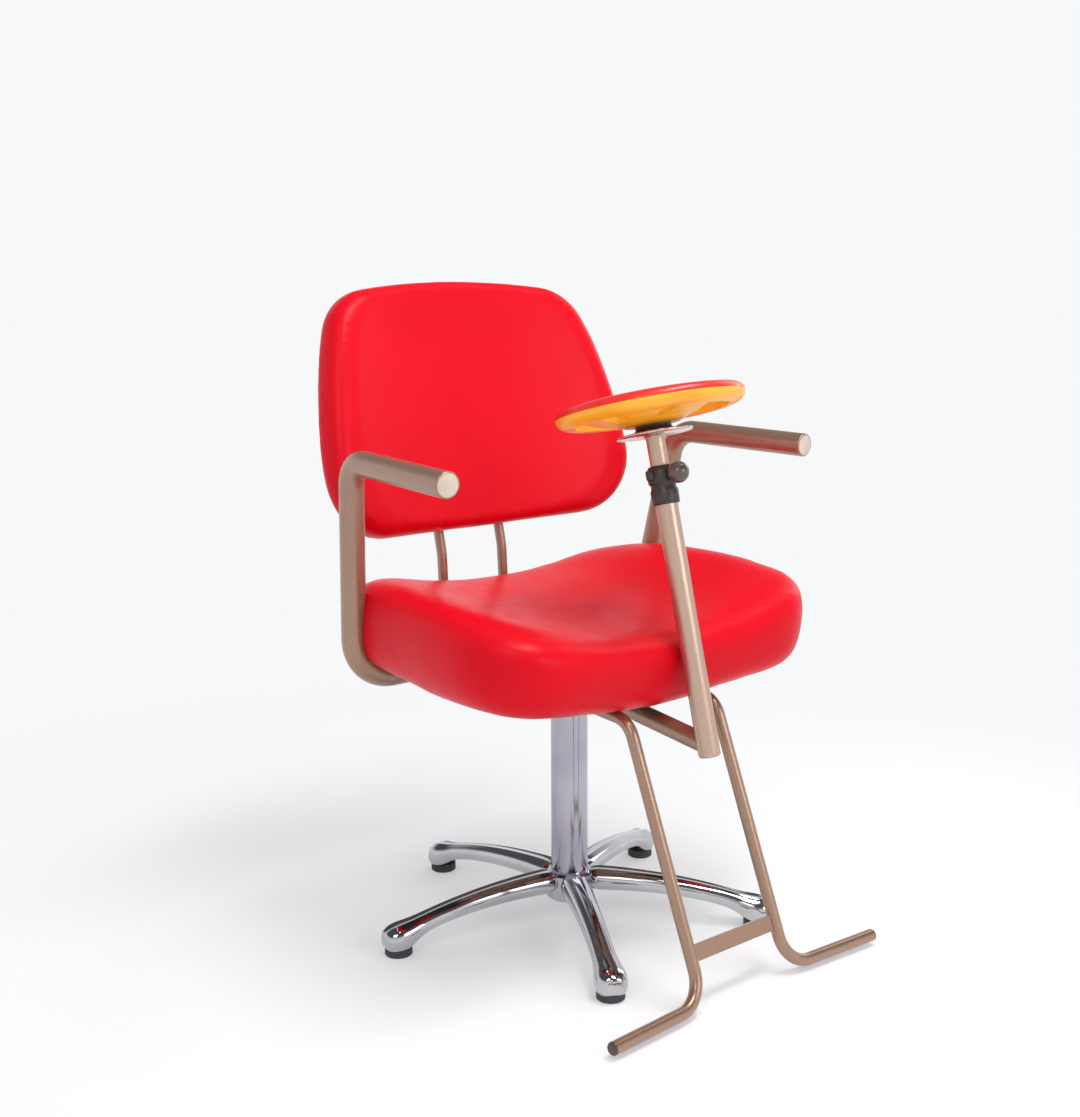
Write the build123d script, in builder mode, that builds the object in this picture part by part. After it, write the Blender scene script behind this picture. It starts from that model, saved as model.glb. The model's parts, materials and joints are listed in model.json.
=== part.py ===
from build123d import *
import os
from math import asin, cos, degrees, radians, sin, sqrt, tan

os.makedirs("parts", exist_ok=True)

# Child barber chair. The origin is on the floor under the swivel axis, +Z is up,
# the sitter looks towards -Y, and +X is the sitter's left.

# Clearances and cutters
overrun = 8.0  # how far a cutter runs past what it cuts
running_gap = 0.05  # radial gap of a part that turns or slides in another
fixed_gap = 0.05  # gap of a fixed part in its hole or beside its weld
soft_gap = 0.3  # gap round a piece that lies in foam
stop_gap = 0.5  # gap of two pieces that only nearly meet

# Star base
leg_count = 5
first_leg_angle = 23.4
glide_circle_radius = 255.3  # of the circle through the feet
leg_start = 20.0  # radius where the legs start inside the hub
leg_root_top = 72.0  # height of a leg's top at the hub
leg_toe_top = 39.0  # height of a leg's top where it runs into its toe
leg_root_width = 44.0
leg_waist_width = 29.0
leg_root_depth = 30.0
leg_toe_depth = 22.0
leg_corner_share = 0.42  # corner radius of a leg's section, as a share of its depth
leg_fall_power = 1.8  # how late along the leg its top starts to fall
leg_station_shares = (0.0, 0.18, 0.4, 0.62, 0.82, 1.0)
toe_radius = 20.5
toe_top = 41.0
toe_crown = 12.0  # rounding of the toe's top
hub_radius = 33.0
hub_bottom = 33.0
hub_top = 67.0
hub_lip = 5.0  # height of the ledge that carries the column
hub_lip_width = 6.0

# Feet
glide_radius = 18.0
glide_height = 12.0
glide_edge = 2.0
glide_dish = 1.5
glide_neck = 1.5  # bare stem between the foot and the toe
stem_radius = 5.0
stem_reach = 16.0  # how far the stem screws into the toe
stem_foot = 4.0  # how far the stem stands in the glide

# Column and its lift
column_radius = 25.0
column_wall = 2.0
column_gap = 5.0  # from the column's tube up to the lift housing
column_floor = 5.0
bush_length = 80.0
bush_flange = 3.0
cylinder_radius = 14.0
cylinder_wall = 1.5
cylinder_bottom = 60.0
cylinder_guide = 18.0  # solid end that guides the rod
cylinder_head = 44.0  # solid end above the gas space
cylinder_stand = 30.0  # how far the cylinder reaches up into the housing
taper_length = 30.0
taper_drop = 1.0  # how much the radius falls along the taper
rod_radius = 5.0
rod_tail = 7.0  # how far the rod reaches below the column's floor
rod_shoulder_radius = 8.0
rod_shoulder = 4.0
piston_height = 10.0
piston_gap = 2.0  # gap above the piston at the lowest setting
race_radius = 16.0
race_thickness = 2.0
ball_radius = 2.0
ball_count = 10
cage_thickness = 1.2
cage_band = 3.6  # radial width of the cage
clip_radius = 10.0
clip_thickness = 2.0
clip_groove = 1.2
valve_radius = 4.0
valve_stand = 6.0  # how far the valve pin stands out of the cylinder
valve_reach = 24.0  # how far it reaches down inside
valve_rounding = 1.5

# Seat pad, in its own plane, which falls towards the front
seat_tilt = 4.6
pad_height = 360.0  # height of the pad's underside above the floor at the axis
pad_front = 205.0
pad_rear = 186.0
pad_front_half = 272.0
pad_rear_half = 224.0
pad_side_bow = 14.0  # how far the sides bow outwards
pad_front_bow = 4.0
pad_front_corner = 92.0
pad_rear_corner = 98.0
pad_middle = 79.0  # thickness in the middle of the dish
dish_radius = 760.0
under_radius = 1300.0  # the underside rises a little towards both sides
pad_blank = 165.0  # height of the foam block before it is shaped
pad_top_edge = 19.0
pad_bottom_edge = 27.0
board_thickness = 12.0
board_half = 150.0
board_front = 150.0
board_rear = 158.0
board_corner = 30.0

# Steel plate and lift housing under the pad
plate_thickness = 3.0
plate_half = 112.0
plate_front = 128.0
plate_rear = 156.0
plate_corner = 18.0
housing_half = 42.0
housing_front = 62.0
housing_rear = 50.0
housing_drop = 50.0  # how far the housing reaches below the pad's underside
housing_wall = 3.0
housing_corner = 10.0
socket_radius = 21.0
socket_top_gap = 4.0  # how far the cylinder's end stands out of its socket
bolt_x = 96.0
bolt_front = 45.0
bolt_rear = 82.0
bolt_radius = 4.0
bolt_play = 0.4
bolt_head_radius = 7.0
bolt_head = 5.0
bolt_bite = 10.0  # how far a seat bolt goes into the board

# Lift lever
lever_arm = 30.0  # from the valve pin to the pivot
lever_thickness = 5.0
lever_width = 14.0
lever_nose = 7.0  # how far the nose runs past the valve pin
lever_rod_radius = 4.0
lever_barrel_wall = 2.6
lever_drop = 27.0  # how far the handle hangs below the pivot
lever_knee = 50.0
lever_elbow = 80.0
lever_reach = 208.0
lever_bend = 14.0
grip_radius = 8.5
grip_length = 72.0
grip_end = 4.0
grip_rounding = 5.0
lug_thickness = 4.0
lug_half = 9.0
pin_radius = 3.0
slot_height = 17.0

# Arms
arm_radius = 16.0
arm_wall = 2.0
arm_y = 133.0  # where the arms leave the plate
arm_start_x = 74.0
arm_heel_x = 255.0
arm_top_x = 284.5
arm_top_y = 82.5
arm_top_z = 646.0
arm_tip_x = 306.5
arm_tip_y = -137.6
arm_tip_z = 639.0
arm_heel_bend = 68.0
arm_top_bend = 38.0
cap_thickness = 4.0
cap_spigot = 14.0
cap_rounding = 2.5

# Backrest
recline = 13.1
back_low_rise = 168.0  # from the seat's underside to the middle of the lower edge
back_low_y = 188.5
back_length = 330.0
back_thickness = 42.0
back_curve = 723.0  # radius of the hollow front face, seen from above
back_low_half = 255.0
back_middle_half = 248.5  # half way up, where the sides bow outwards
back_top_half = 200.0
back_crown = 7.5  # rise of the top edge in the middle
back_low_corner = 85.0
back_top_corner = 68.0
back_front_edge = 17.0
back_rear_edge = 11.0
panel_thickness = 9.0
panel_margin = 24.0

# Bars that carry the backrest
bar_radius = 7.0
bar_x = 54.0
bar_start = 62.0
bar_heel = 199.0
bar_knee_drop = 42.0  # from the backrest's lower edge to the bars' upper bend
bar_reach = 158.0  # how far they run up the panel
bar_heel_bend = 46.0
bar_knee_bend = 90.0
bar_end_rounding = 3.0
back_bolt_low = 45.0
back_bolt_high = 135.0
back_bolt_radius = 3.0
back_bolt_head_radius = 6.5
back_bolt_head = 3.5
back_bolt_rounding = 2.0
back_bolt_bite = 7.0

# Footrest
foot_radius = 8.0
foot_wall = 1.5
foot_x = 76.5
foot_start = 66.0
foot_knee_y = 194.0
foot_toe_y = 323.0
foot_toe_z = 13.0
foot_knee_bend = 32.0
foot_toe_bend = 40.0
peg_tip_x = 233.0
peg_tip_y = 333.0
peg_cap_thickness = 3.0
peg_cap_rounding = 2.6
peg_cap_spigot = 10.0
rung_z = 67.0
rung_height = 20.0
rung_thickness = 5.0

# Steering column in front of the seat
mast_radius = 12.5
mast_wall = 2.0
mast_lean = 14.4
mast_foot_y = 254.4
mast_foot_drop = 58.0  # below the pad's underside at the swivel axis
mast_tail = 15.0  # how far the mast runs below the middle of its arm
mast_top = 318.0  # all lengths along the mast are from its foot point
mast_end_rounding = 6.0
mast_floor = 3.0
reach_arm_rear_drop = 32.0
slide_wall = 1.5
slide_bottom = 150.0
slide_top = 401.0
collar_bottom = 299.0
collar_radius = 15.0
collar_band_radius = 17.0
collar_band_bottom = 322.0
collar_top = 347.0
collar_edge = 1.5
knob_station = 334.5
knob_radius = 13.5
knob_reach = 29.0  # from the mast's axis to the middle of the ball
stud_radius = 4.0
stud_in_knob = 12.0
boss_radius = 8.0
boss_reach = 19.0

# Steering wheel
flange_radius = 48.0
flange_thickness = 3.0
spindle_radius = 6.0
spindle_head_radius = 8.5
spindle_head = 6.0
spindle_top = 30.0  # above the flange
nut_radius = 10.0
nut_height = 6.0
washer_radius = 25.0
washer_thickness = 2.0
wheel_radius = 118.5
rim_width = 23.0
rim_low_height = 15.0
rim_high_height = 10.0
rim_low_rounding = 8.0
rim_high_rounding = 7.0
web_thickness = 6.0
hub_disc_radius = 46.0
wheel_hub_radius = 16.0
spoke_count = 3
spoke_width = 34.0
cover_thickness = 4.0
cover_spoke_width = 26.0
cover_disc_radius = 41.0
cap_disc_radius = 27.0
cap_disc_height = 13.0
cap_disc_wall = 2.5
cap_disc_rounding = 8.0

# Heights that follow the seat's height
housing_bottom = pad_height - housing_drop
column_top = housing_bottom - column_gap
cylinder_top = housing_bottom + cylinder_stand
mast_foot_z = pad_height - mast_foot_drop
reach_arm_rear_z = pad_height - reach_arm_rear_drop
back_low = pad_height + back_low_rise
bar_knee = back_low - bar_knee_drop

# Planes that several pieces share
tilt = radians(seat_tilt)
seat_plane = Plane(origin=(0, 0, pad_height), x_dir=(1, 0, 0), z_dir=(0, -sin(tilt), cos(tilt)))
seat_section_plane = Plane(origin=(0, 0, pad_height), x_dir=(1, 0, 0), z_dir=(0, -cos(tilt), -sin(tilt)))
lean_back = radians(recline)
back_plane = Plane(
    origin=(0, back_low_y, back_low), x_dir=(1, 0, 0), z_dir=(0, -cos(lean_back), sin(lean_back))
)
back_section_plane = Plane(
    origin=(0, back_low_y, back_low), x_dir=(1, 0, 0), z_dir=(0, sin(lean_back), cos(lean_back))
)
mast_tilt = radians(mast_lean)
mast_plane = Plane(
    origin=(0, -mast_foot_y, mast_foot_z), x_dir=(1, 0, 0), z_dir=(0, sin(mast_tilt), cos(mast_tilt))
)
mast_axis = Axis(mast_plane.origin, mast_plane.z_dir)


def under_plate(y, radius):
    """Height of the axis of a tube of this radius that lies under the plate at y."""
    return pad_height + y * tan(tilt) - (plate_thickness + radius) / cos(tilt)


def bent_tube(points, bends, radius, wall):
    """A round tube along straight runs and tangent bends."""
    with BuildPart() as tube:
        with BuildLine() as route:
            FilletPolyline(*points, radius=bends)
        start = Plane(origin=route.line @ 0, z_dir=route.line % 0)
        with BuildSketch(start):
            Circle(radius)
            Circle(radius - wall, mode=Mode.SUBTRACT)
        sweep()
    return tube


def bent_bar(points, bends, radius):
    """A solid round bar along straight runs and tangent bends."""
    with BuildPart() as bar:
        with BuildLine() as route:
            FilletPolyline(*points, radius=bends)
        start = Plane(origin=route.line @ 0, z_dir=route.line % 0)
        with BuildSketch(start):
            Circle(radius)
        sweep()
    return bar


# One leg of the star: a tapering cast beam that falls towards its toe
leg_length = glide_circle_radius - leg_start
toe_bottom = glide_height + glide_neck
with BuildPart() as leg:
    for share in leg_station_shares:
        top = leg_root_top - (leg_root_top - leg_toe_top) * share**leg_fall_power
        width = leg_root_width - (leg_root_width - leg_waist_width) * sqrt(share)
        depth = leg_root_depth - (leg_root_depth - leg_toe_depth) * share
        middle = top - depth / 2
        station = Plane(
            origin=(leg_start + share * leg_length, 0, middle), x_dir=(0, 1, 0), z_dir=(1, 0, 0)
        )
        with BuildSketch(station):
            RectangleRounded(width, depth, depth * leg_corner_share)
    loft()

# The round toe over each foot, with a domed top and a hole for the foot's stem
with BuildPart() as toe:
    with BuildSketch(Plane.XY.offset(toe_bottom)):
        Circle(toe_radius)
    extrude(amount=toe_top - toe_bottom)
    fillet(toe.faces().sort_by(Axis.Z)[-1].edges(), toe_crown)

# Star base: five legs and toes on a hub that is bored for the column
with BuildPart() as star_base:
    with BuildSketch(Plane.XY.offset(hub_bottom)):
        Circle(hub_radius)
    extrude(amount=hub_top - hub_bottom)
    with PolarLocations(0, leg_count, start_angle=first_leg_angle):
        add(leg.part)
    with PolarLocations(glide_circle_radius, leg_count, start_angle=first_leg_angle):
        add(toe.part)
    with BuildSketch(Plane.XY.offset(toe_bottom - overrun)):
        with PolarLocations(glide_circle_radius, leg_count, start_angle=first_leg_angle):
            Circle(stem_radius + fixed_gap)
    extrude(amount=overrun + stem_reach + fixed_gap, mode=Mode.SUBTRACT)
    with BuildSketch(Plane.XY.offset(hub_bottom + hub_lip)):
        Circle(column_radius + fixed_gap)
    extrude(amount=leg_root_top, mode=Mode.SUBTRACT)
    with BuildSketch(Plane.XY.offset(hub_bottom - overrun)):
        Circle(column_radius - hub_lip_width)
    extrude(amount=leg_root_top, mode=Mode.SUBTRACT)
star_base.part.label = "star_base"
export_step(star_base.part, "parts/star_base.step")

# One foot: a low round glide with a socket for its stem
with BuildPart() as glide:
    with BuildSketch():
        Circle(glide_radius)
    extrude(amount=glide_height)
    chamfer(glide.edges().group_by(Axis.Z)[0], glide_dish)
    fillet(glide.edges().group_by(Axis.Z)[-1], glide_edge)
    with BuildSketch(Plane.XY.offset(glide_height - stem_foot)):
        Circle(stem_radius + fixed_gap)
    extrude(amount=stem_foot + overrun, mode=Mode.SUBTRACT)

# The five glides on their circle
with BuildPart() as glides:
    with PolarLocations(glide_circle_radius, leg_count, start_angle=first_leg_angle):
        add(glide.part)
glides.part.label = "glides"
export_step(glides.part, "parts/glides.step")

# The threaded stems between the glides and the toes
with BuildPart() as glide_stems:
    with BuildSketch(Plane.XY.offset(glide_height - stem_foot)):
        with PolarLocations(glide_circle_radius, leg_count, start_angle=first_leg_angle):
            Circle(stem_radius)
    extrude(amount=stem_foot + glide_neck + stem_reach)
glide_stems.part.label = "glide_stems"
export_step(glide_stems.part, "parts/glide_stems.step")

# Column: a tube with a floor that stands on the hub's ledge
column_bottom = hub_bottom + hub_lip
floor_top = column_bottom + column_floor
with BuildPart() as column_tube:
    with BuildSketch(Plane.XY.offset(column_bottom)):
        Circle(column_radius)
    extrude(amount=column_top - column_bottom)
    with BuildSketch(Plane.XY.offset(floor_top)):
        Circle(column_radius - column_wall)
    extrude(amount=column_top, mode=Mode.SUBTRACT)
    with BuildSketch(Plane.XY.offset(column_bottom - overrun)):
        Circle(rod_radius + running_gap)
    extrude(amount=column_floor + 2 * overrun, mode=Mode.SUBTRACT)
column_tube.part.label = "column_tube"
export_step(column_tube.part, "parts/column_tube.step")

# Guide bush: a sleeve in the top of the column with a flange on its rim
with BuildPart() as column_bush:
    with BuildSketch(Plane.XY.offset(column_top - bush_length)):
        Circle(column_radius - column_wall - fixed_gap)
    extrude(amount=bush_length)
    with BuildSketch(Plane.XY.offset(column_top)):
        Circle(column_radius)
    extrude(amount=bush_flange)
    with BuildSketch(Plane.XY.offset(column_top - bush_length - overrun)):
        Circle(cylinder_radius + running_gap)
    extrude(amount=bush_length + bush_flange + 2 * overrun, mode=Mode.SUBTRACT)
column_bush.part.label = "column_bush"
export_step(column_bush.part, "parts/column_bush.step")

# Swivel bearing on the column's floor: a race, a cage of balls and a second race
cage_middle = floor_top + race_thickness + running_gap + ball_radius
race_two_bottom = cage_middle + ball_radius + running_gap
ball_circle = (race_radius + rod_shoulder_radius) / 2
with BuildPart() as lower_race:
    with BuildSketch(Plane.XY.offset(floor_top)):
        Circle(race_radius)
        Circle(rod_shoulder_radius, mode=Mode.SUBTRACT)
    extrude(amount=race_thickness)
lower_race.part.label = "lower_race"
export_step(lower_race.part, "parts/lower_race.step")

with BuildPart() as ball_cage:
    with BuildSketch(Plane.XY.offset(cage_middle - cage_thickness / 2)):
        Circle(ball_circle + cage_band / 2)
        Circle(ball_circle - cage_band / 2, mode=Mode.SUBTRACT)
    extrude(amount=cage_thickness)
    with Locations((0, 0, cage_middle)):
        with PolarLocations(ball_circle, ball_count):
            Sphere(ball_radius)
ball_cage.part.label = "ball_cage"
export_step(ball_cage.part, "parts/ball_cage.step")

with BuildPart() as upper_race:
    with BuildSketch(Plane.XY.offset(race_two_bottom)):
        Circle(race_radius)
        Circle(rod_radius + fixed_gap, mode=Mode.SUBTRACT)
    extrude(amount=race_thickness)
upper_race.part.label = "upper_race"
export_step(upper_race.part, "parts/upper_race.step")

# Piston rod: it turns on the bearing and ends in the piston
gas_top = cylinder_top - cylinder_head
shoulder_bottom = race_two_bottom + race_thickness
piston_top = gas_top - piston_gap
clip_top = column_bottom - stop_gap
clip_bottom = clip_top - clip_thickness
with BuildPart() as piston_rod:
    with BuildSketch(Plane.XY.offset(column_bottom - rod_tail)):
        Circle(rod_radius)
    extrude(amount=piston_top - column_bottom + rod_tail)
    with BuildSketch(Plane.XY.offset(shoulder_bottom)):
        Circle(rod_shoulder_radius)
    extrude(amount=rod_shoulder)
    with BuildSketch(Plane.XY.offset(piston_top - piston_height)):
        Circle(cylinder_radius - cylinder_wall - running_gap)
    extrude(amount=piston_height)
    with BuildSketch(Plane.XY.offset(clip_bottom - fixed_gap)):
        Circle(rod_radius + overrun)
        Circle(rod_radius - clip_groove, mode=Mode.SUBTRACT)
    extrude(amount=clip_thickness + 2 * fixed_gap, mode=Mode.SUBTRACT)
piston_rod.part.label = "piston_rod"
export_step(piston_rod.part, "parts/piston_rod.step")

# Clip that keeps the rod in the column's floor
with BuildPart() as rod_clip:
    with BuildSketch(Plane.XY.offset(clip_bottom)):
        Circle(clip_radius)
        Circle(rod_radius - clip_groove + fixed_gap, mode=Mode.SUBTRACT)
        with Locations((clip_radius, 0)):
            Rectangle(2 * clip_radius, rod_radius, mode=Mode.SUBTRACT)
    extrude(amount=clip_thickness)
rod_clip.part.label = "rod_clip"
export_step(rod_clip.part, "parts/rod_clip.step")

# Gas cylinder: it slides in the bush, and its tapered end holds the seat
with BuildPart() as gas_cylinder:
    with BuildSketch(Plane.XZ):
        with BuildLine():
            Polyline(
                (rod_radius + running_gap, cylinder_bottom),
                (cylinder_radius, cylinder_bottom),
                (cylinder_radius, cylinder_top - taper_length),
                (cylinder_radius - taper_drop, cylinder_top),
                (valve_radius + running_gap, cylinder_top),
                (valve_radius + running_gap, gas_top),
                (cylinder_radius - cylinder_wall, gas_top),
                (cylinder_radius - cylinder_wall, cylinder_bottom + cylinder_guide),
                (rod_radius + running_gap, cylinder_bottom + cylinder_guide),
                close=True,
            )
        make_face()
    revolve(axis=Axis.Z)
gas_cylinder.part.label = "gas_cylinder"
export_step(gas_cylinder.part, "parts/gas_cylinder.step")

# Valve pin: pressing it lets the cylinder rise or sink
valve_top = cylinder_top + valve_stand
with BuildPart() as valve_pin:
    with BuildSketch(Plane.XY.offset(cylinder_top - valve_reach)):
        Circle(valve_radius)
    extrude(amount=valve_reach + valve_stand)
    fillet(valve_pin.edges().group_by(Axis.Z)[-1], valve_rounding)
valve_pin.part.label = "valve_pin"
export_step(valve_pin.part, "parts/valve_pin.step")

# Seat board: plywood that lies in the underside of the pad
bolt_spots = [(x, y) for x in (-bolt_x, bolt_x) for y in (-bolt_front, bolt_rear)]
board_middle_y = (board_rear - board_front) / 2
board_length = board_rear + board_front
with BuildPart() as seat_board:
    with BuildSketch(seat_plane):
        with Locations((0, board_middle_y)):
            RectangleRounded(2 * board_half, board_length, board_corner)
    extrude(amount=board_thickness)
    with BuildSketch(seat_plane):
        with Locations(*bolt_spots):
            Circle(bolt_radius + fixed_gap)
    extrude(amount=bolt_bite + stop_gap, mode=Mode.SUBTRACT)
seat_board.part.label = "seat_board"
export_step(seat_board.part, "parts/seat_board.step")

# Outline of the seat pad, wider at the front
pad_side_middle = (pad_front_half + pad_rear_half) / 2 + pad_side_bow
pad_middle_y = (pad_rear - pad_front) / 2
pad_front_y = pad_front_bow - pad_front
with BuildSketch() as pad_outline:
    with BuildLine():
        ThreePointArc((-pad_front_half, pad_front_y), (0, -pad_front), (pad_front_half, pad_front_y))
        for sign in (1, -1):
            ThreePointArc(
                (sign * pad_front_half, pad_front_y),
                (sign * pad_side_middle, pad_middle_y),
                (sign * pad_rear_half, pad_rear),
            )
        Line((pad_rear_half, pad_rear), (-pad_rear_half, pad_rear))
    make_face()
    fillet(pad_outline.vertices().group_by(Axis.Y)[0], pad_front_corner)
    fillet(pad_outline.vertices().group_by(Axis.Y)[-1], pad_rear_corner)

# Seat pad: a thick saddle of foam, dished from side to side, with rounded edges
with BuildPart() as seat_cushion:
    with BuildSketch(seat_plane.offset(-overrun)):
        add(pad_outline.sketch)
    extrude(amount=pad_blank)
    with BuildSketch(seat_section_plane):
        with Locations((0, under_radius)):
            Circle(under_radius)
    extrude(amount=pad_front + pad_rear, both=True, mode=Mode.INTERSECT)
    with BuildSketch(seat_section_plane):
        with Locations((0, pad_middle + dish_radius)):
            Circle(dish_radius)
    extrude(amount=pad_front + pad_rear, both=True, mode=Mode.SUBTRACT)
    wide_faces = seat_cushion.faces().filter_by(GeomType.CYLINDER).sort_by(SortBy.AREA)[-2:]
    fillet(wide_faces.sort_by(Axis.Z)[-1].edges(), pad_top_edge)
    wide_faces = seat_cushion.faces().filter_by(GeomType.CYLINDER).sort_by(SortBy.AREA)[-2:]
    fillet(wide_faces.sort_by(Axis.Z)[0].edges(), pad_bottom_edge)
    with BuildSketch(seat_plane.offset(-overrun)):
        with Locations((0, board_middle_y)):
            RectangleRounded(
                2 * (board_half + soft_gap), board_length + 2 * soft_gap, board_corner + soft_gap
            )
    extrude(amount=overrun + board_thickness, mode=Mode.SUBTRACT)
seat_cushion.part.label = "seat_cushion"
export_step(seat_cushion.part, "parts/seat_cushion.step")

# Steel plate under the board, which carries the arms, the back and the footrest
with BuildPart() as seat_plate:
    with BuildSketch(seat_plane):
        with Locations((0, (plate_rear - plate_front) / 2)):
            RectangleRounded(2 * plate_half, plate_front + plate_rear, plate_corner)
        with Locations(*bolt_spots):
            Circle(bolt_radius + bolt_play, mode=Mode.SUBTRACT)
    extrude(amount=-plate_thickness)
seat_plate.part.label = "seat_plate"
export_step(seat_plate.part, "parts/seat_plate.step")

# Bolts that hold the board on the plate
with BuildPart() as seat_bolts:
    with BuildSketch(seat_plane.offset(-plate_thickness)):
        with Locations(*bolt_spots):
            Circle(bolt_radius)
    extrude(amount=plate_thickness + bolt_bite)
    with BuildSketch(seat_plane.offset(-plate_thickness)):
        with Locations(*bolt_spots):
            RegularPolygon(bolt_head_radius, 6)
    extrude(amount=-bolt_head)
seat_bolts.part.label = "seat_bolts"
export_step(seat_bolts.part, "parts/seat_bolts.step")

# Lift housing: a steel box with the socket for the cylinder and the lever's lugs
socket_top = cylinder_top - socket_top_gap
lever_z = valve_top + stop_gap + lever_thickness / 2
lug_inner_y = lever_width / 2 + running_gap
lug_middle_y = lug_inner_y + lug_thickness / 2
housing_floor = housing_bottom + housing_wall
housing_middle_y = (housing_rear - housing_front) / 2
housing_depth = housing_front + housing_rear
with BuildPart() as lift_housing:
    with BuildSketch(Plane.XY.offset(housing_bottom)):
        with Locations((0, housing_middle_y)):
            RectangleRounded(2 * housing_half, housing_depth, housing_corner)
    extrude(amount=pad_height - housing_bottom + overrun)
    with BuildSketch(Plane.XY.offset(housing_floor)):
        with Locations((0, housing_middle_y)):
            RectangleRounded(
                2 * (housing_half - housing_wall),
                housing_depth - 2 * housing_wall,
                housing_corner - housing_wall,
            )
    extrude(amount=pad_height, mode=Mode.SUBTRACT)
    with BuildSketch(Plane.XY.offset(housing_bottom)):
        Circle(socket_radius)
    extrude(amount=socket_top - housing_bottom)
    with BuildSketch(Plane.XY.offset(housing_bottom)):
        with Locations((lever_arm, lug_middle_y), (lever_arm, -lug_middle_y)):
            Rectangle(2 * lug_half, lug_thickness)
    extrude(amount=lever_z + 2 * pin_radius - housing_bottom)
    with BuildSketch(Plane.XZ):
        with BuildLine():
            Polyline(
                (0, housing_bottom - overrun),
                (cylinder_radius + fixed_gap, housing_bottom - overrun),
                (cylinder_radius + fixed_gap, cylinder_top - taper_length),
                (cylinder_radius - taper_drop + fixed_gap, cylinder_top),
                (0, cylinder_top),
                close=True,
            )
        make_face()
    revolve(axis=Axis.Z, mode=Mode.SUBTRACT)
    with BuildSketch(Plane.XZ):
        with Locations((lever_arm, lever_z)):
            Circle(pin_radius + fixed_gap)
    extrude(amount=lug_inner_y + lug_thickness + stop_gap, both=True, mode=Mode.SUBTRACT)
    with BuildSketch(Plane.YZ.offset(housing_half - housing_wall - stop_gap)):
        with Locations((0, lever_z)):
            Rectangle(2 * lug_inner_y, slot_height)
    extrude(amount=housing_wall + overrun, mode=Mode.SUBTRACT)
    split(bisect_by=seat_plane.offset(-plate_thickness), keep=Keep.BOTTOM)
lift_housing.part.label = "lift_housing"
export_step(lift_housing.part, "parts/lift_housing.step")

# Lift lever: a flat nose over the valve pin and a cranked round handle
with BuildPart() as lift_lever:
    with BuildSketch(Plane.XY.offset(lever_z - lever_thickness / 2)):
        with Locations(((lever_knee - lever_nose) / 2, 0)):
            Rectangle(lever_knee + lever_nose, lever_width)
    extrude(amount=lever_thickness)
    with BuildSketch(Plane.XZ):
        with Locations((lever_arm, lever_z)):
            Circle(pin_radius + lever_barrel_wall)
    extrude(amount=lever_width / 2, both=True)
    with BuildLine() as lever_route:
        FilletPolyline(
            (lever_arm + pin_radius + lever_thickness, 0, lever_z),
            (lever_knee, 0, lever_z),
            (lever_elbow, 0, lever_z - lever_drop),
            (lever_reach, 0, lever_z - lever_drop),
            radius=lever_bend,
        )
    with BuildSketch(Plane(origin=lever_route.line @ 0, z_dir=lever_route.line % 0)):
        Circle(lever_rod_radius)
    sweep()
    with BuildSketch(Plane.XZ):
        with Locations((lever_arm, lever_z)):
            Circle(pin_radius + running_gap)
    extrude(amount=lever_width, both=True, mode=Mode.SUBTRACT)
lift_lever.part.label = "lift_lever"
export_step(lift_lever.part, "parts/lift_lever.step")

# Pivot pin of the lever
with BuildPart() as lever_pin:
    with BuildSketch(Plane.XZ):
        with Locations((lever_arm, lever_z)):
            Circle(pin_radius)
    extrude(amount=lug_inner_y + lug_thickness, both=True)
lever_pin.part.label = "lever_pin"
export_step(lever_pin.part, "parts/lever_pin.step")

# Grip on the lever's handle
with BuildPart() as lever_grip:
    with BuildSketch(Plane.YZ.offset(lever_reach + grip_end - grip_length)):
        with Locations((0, lever_z - lever_drop)):
            Circle(grip_radius)
    extrude(amount=grip_length)
    fillet(lever_grip.edges().group_by(Axis.X)[-1], grip_rounding)
    with BuildSketch(Plane.YZ.offset(lever_reach - grip_length)):
        with Locations((0, lever_z - lever_drop)):
            Circle(lever_rod_radius + fixed_gap)
    extrude(amount=grip_length, mode=Mode.SUBTRACT)
lever_grip.part.label = "lever_grip"
export_step(lever_grip.part, "parts/lever_grip.step")

# Arms: a tube that comes out from under the seat, rises and turns forward
arm_z = under_plate(arm_y, arm_radius)
for side, sign in (("left", 1), ("right", -1)):
    arm_points = [
        (sign * arm_start_x, arm_y, arm_z),
        (sign * arm_heel_x, arm_y, arm_z),
        (sign * arm_top_x, arm_top_y, arm_top_z),
        (sign * arm_tip_x, arm_tip_y, arm_tip_z),
    ]
    arm = bent_tube(arm_points, [arm_heel_bend, arm_top_bend], arm_radius, arm_wall)
    arm.part.label = f"arm_{side}"
    export_step(arm.part, f"parts/arm_{side}.step")
    tip_plane = Plane(origin=arm_points[-1], z_dir=Vector(*arm_points[-1]) - Vector(*arm_points[-2]))
    with BuildPart() as arm_cap:
        with BuildSketch(tip_plane):
            Circle(arm_radius)
        extrude(amount=cap_thickness)
        cap_face = arm_cap.faces().filter_by(GeomType.PLANE).sort_by(Axis.Y)[0]
        fillet(cap_face.edges(), cap_rounding)
        with BuildSketch(tip_plane):
            Circle(arm_radius - arm_wall - fixed_gap)
        extrude(amount=-cap_spigot)
    arm_cap.part.label = f"arm_cap_{side}"
    export_step(arm_cap.part, f"parts/arm_cap_{side}.step")

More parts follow.
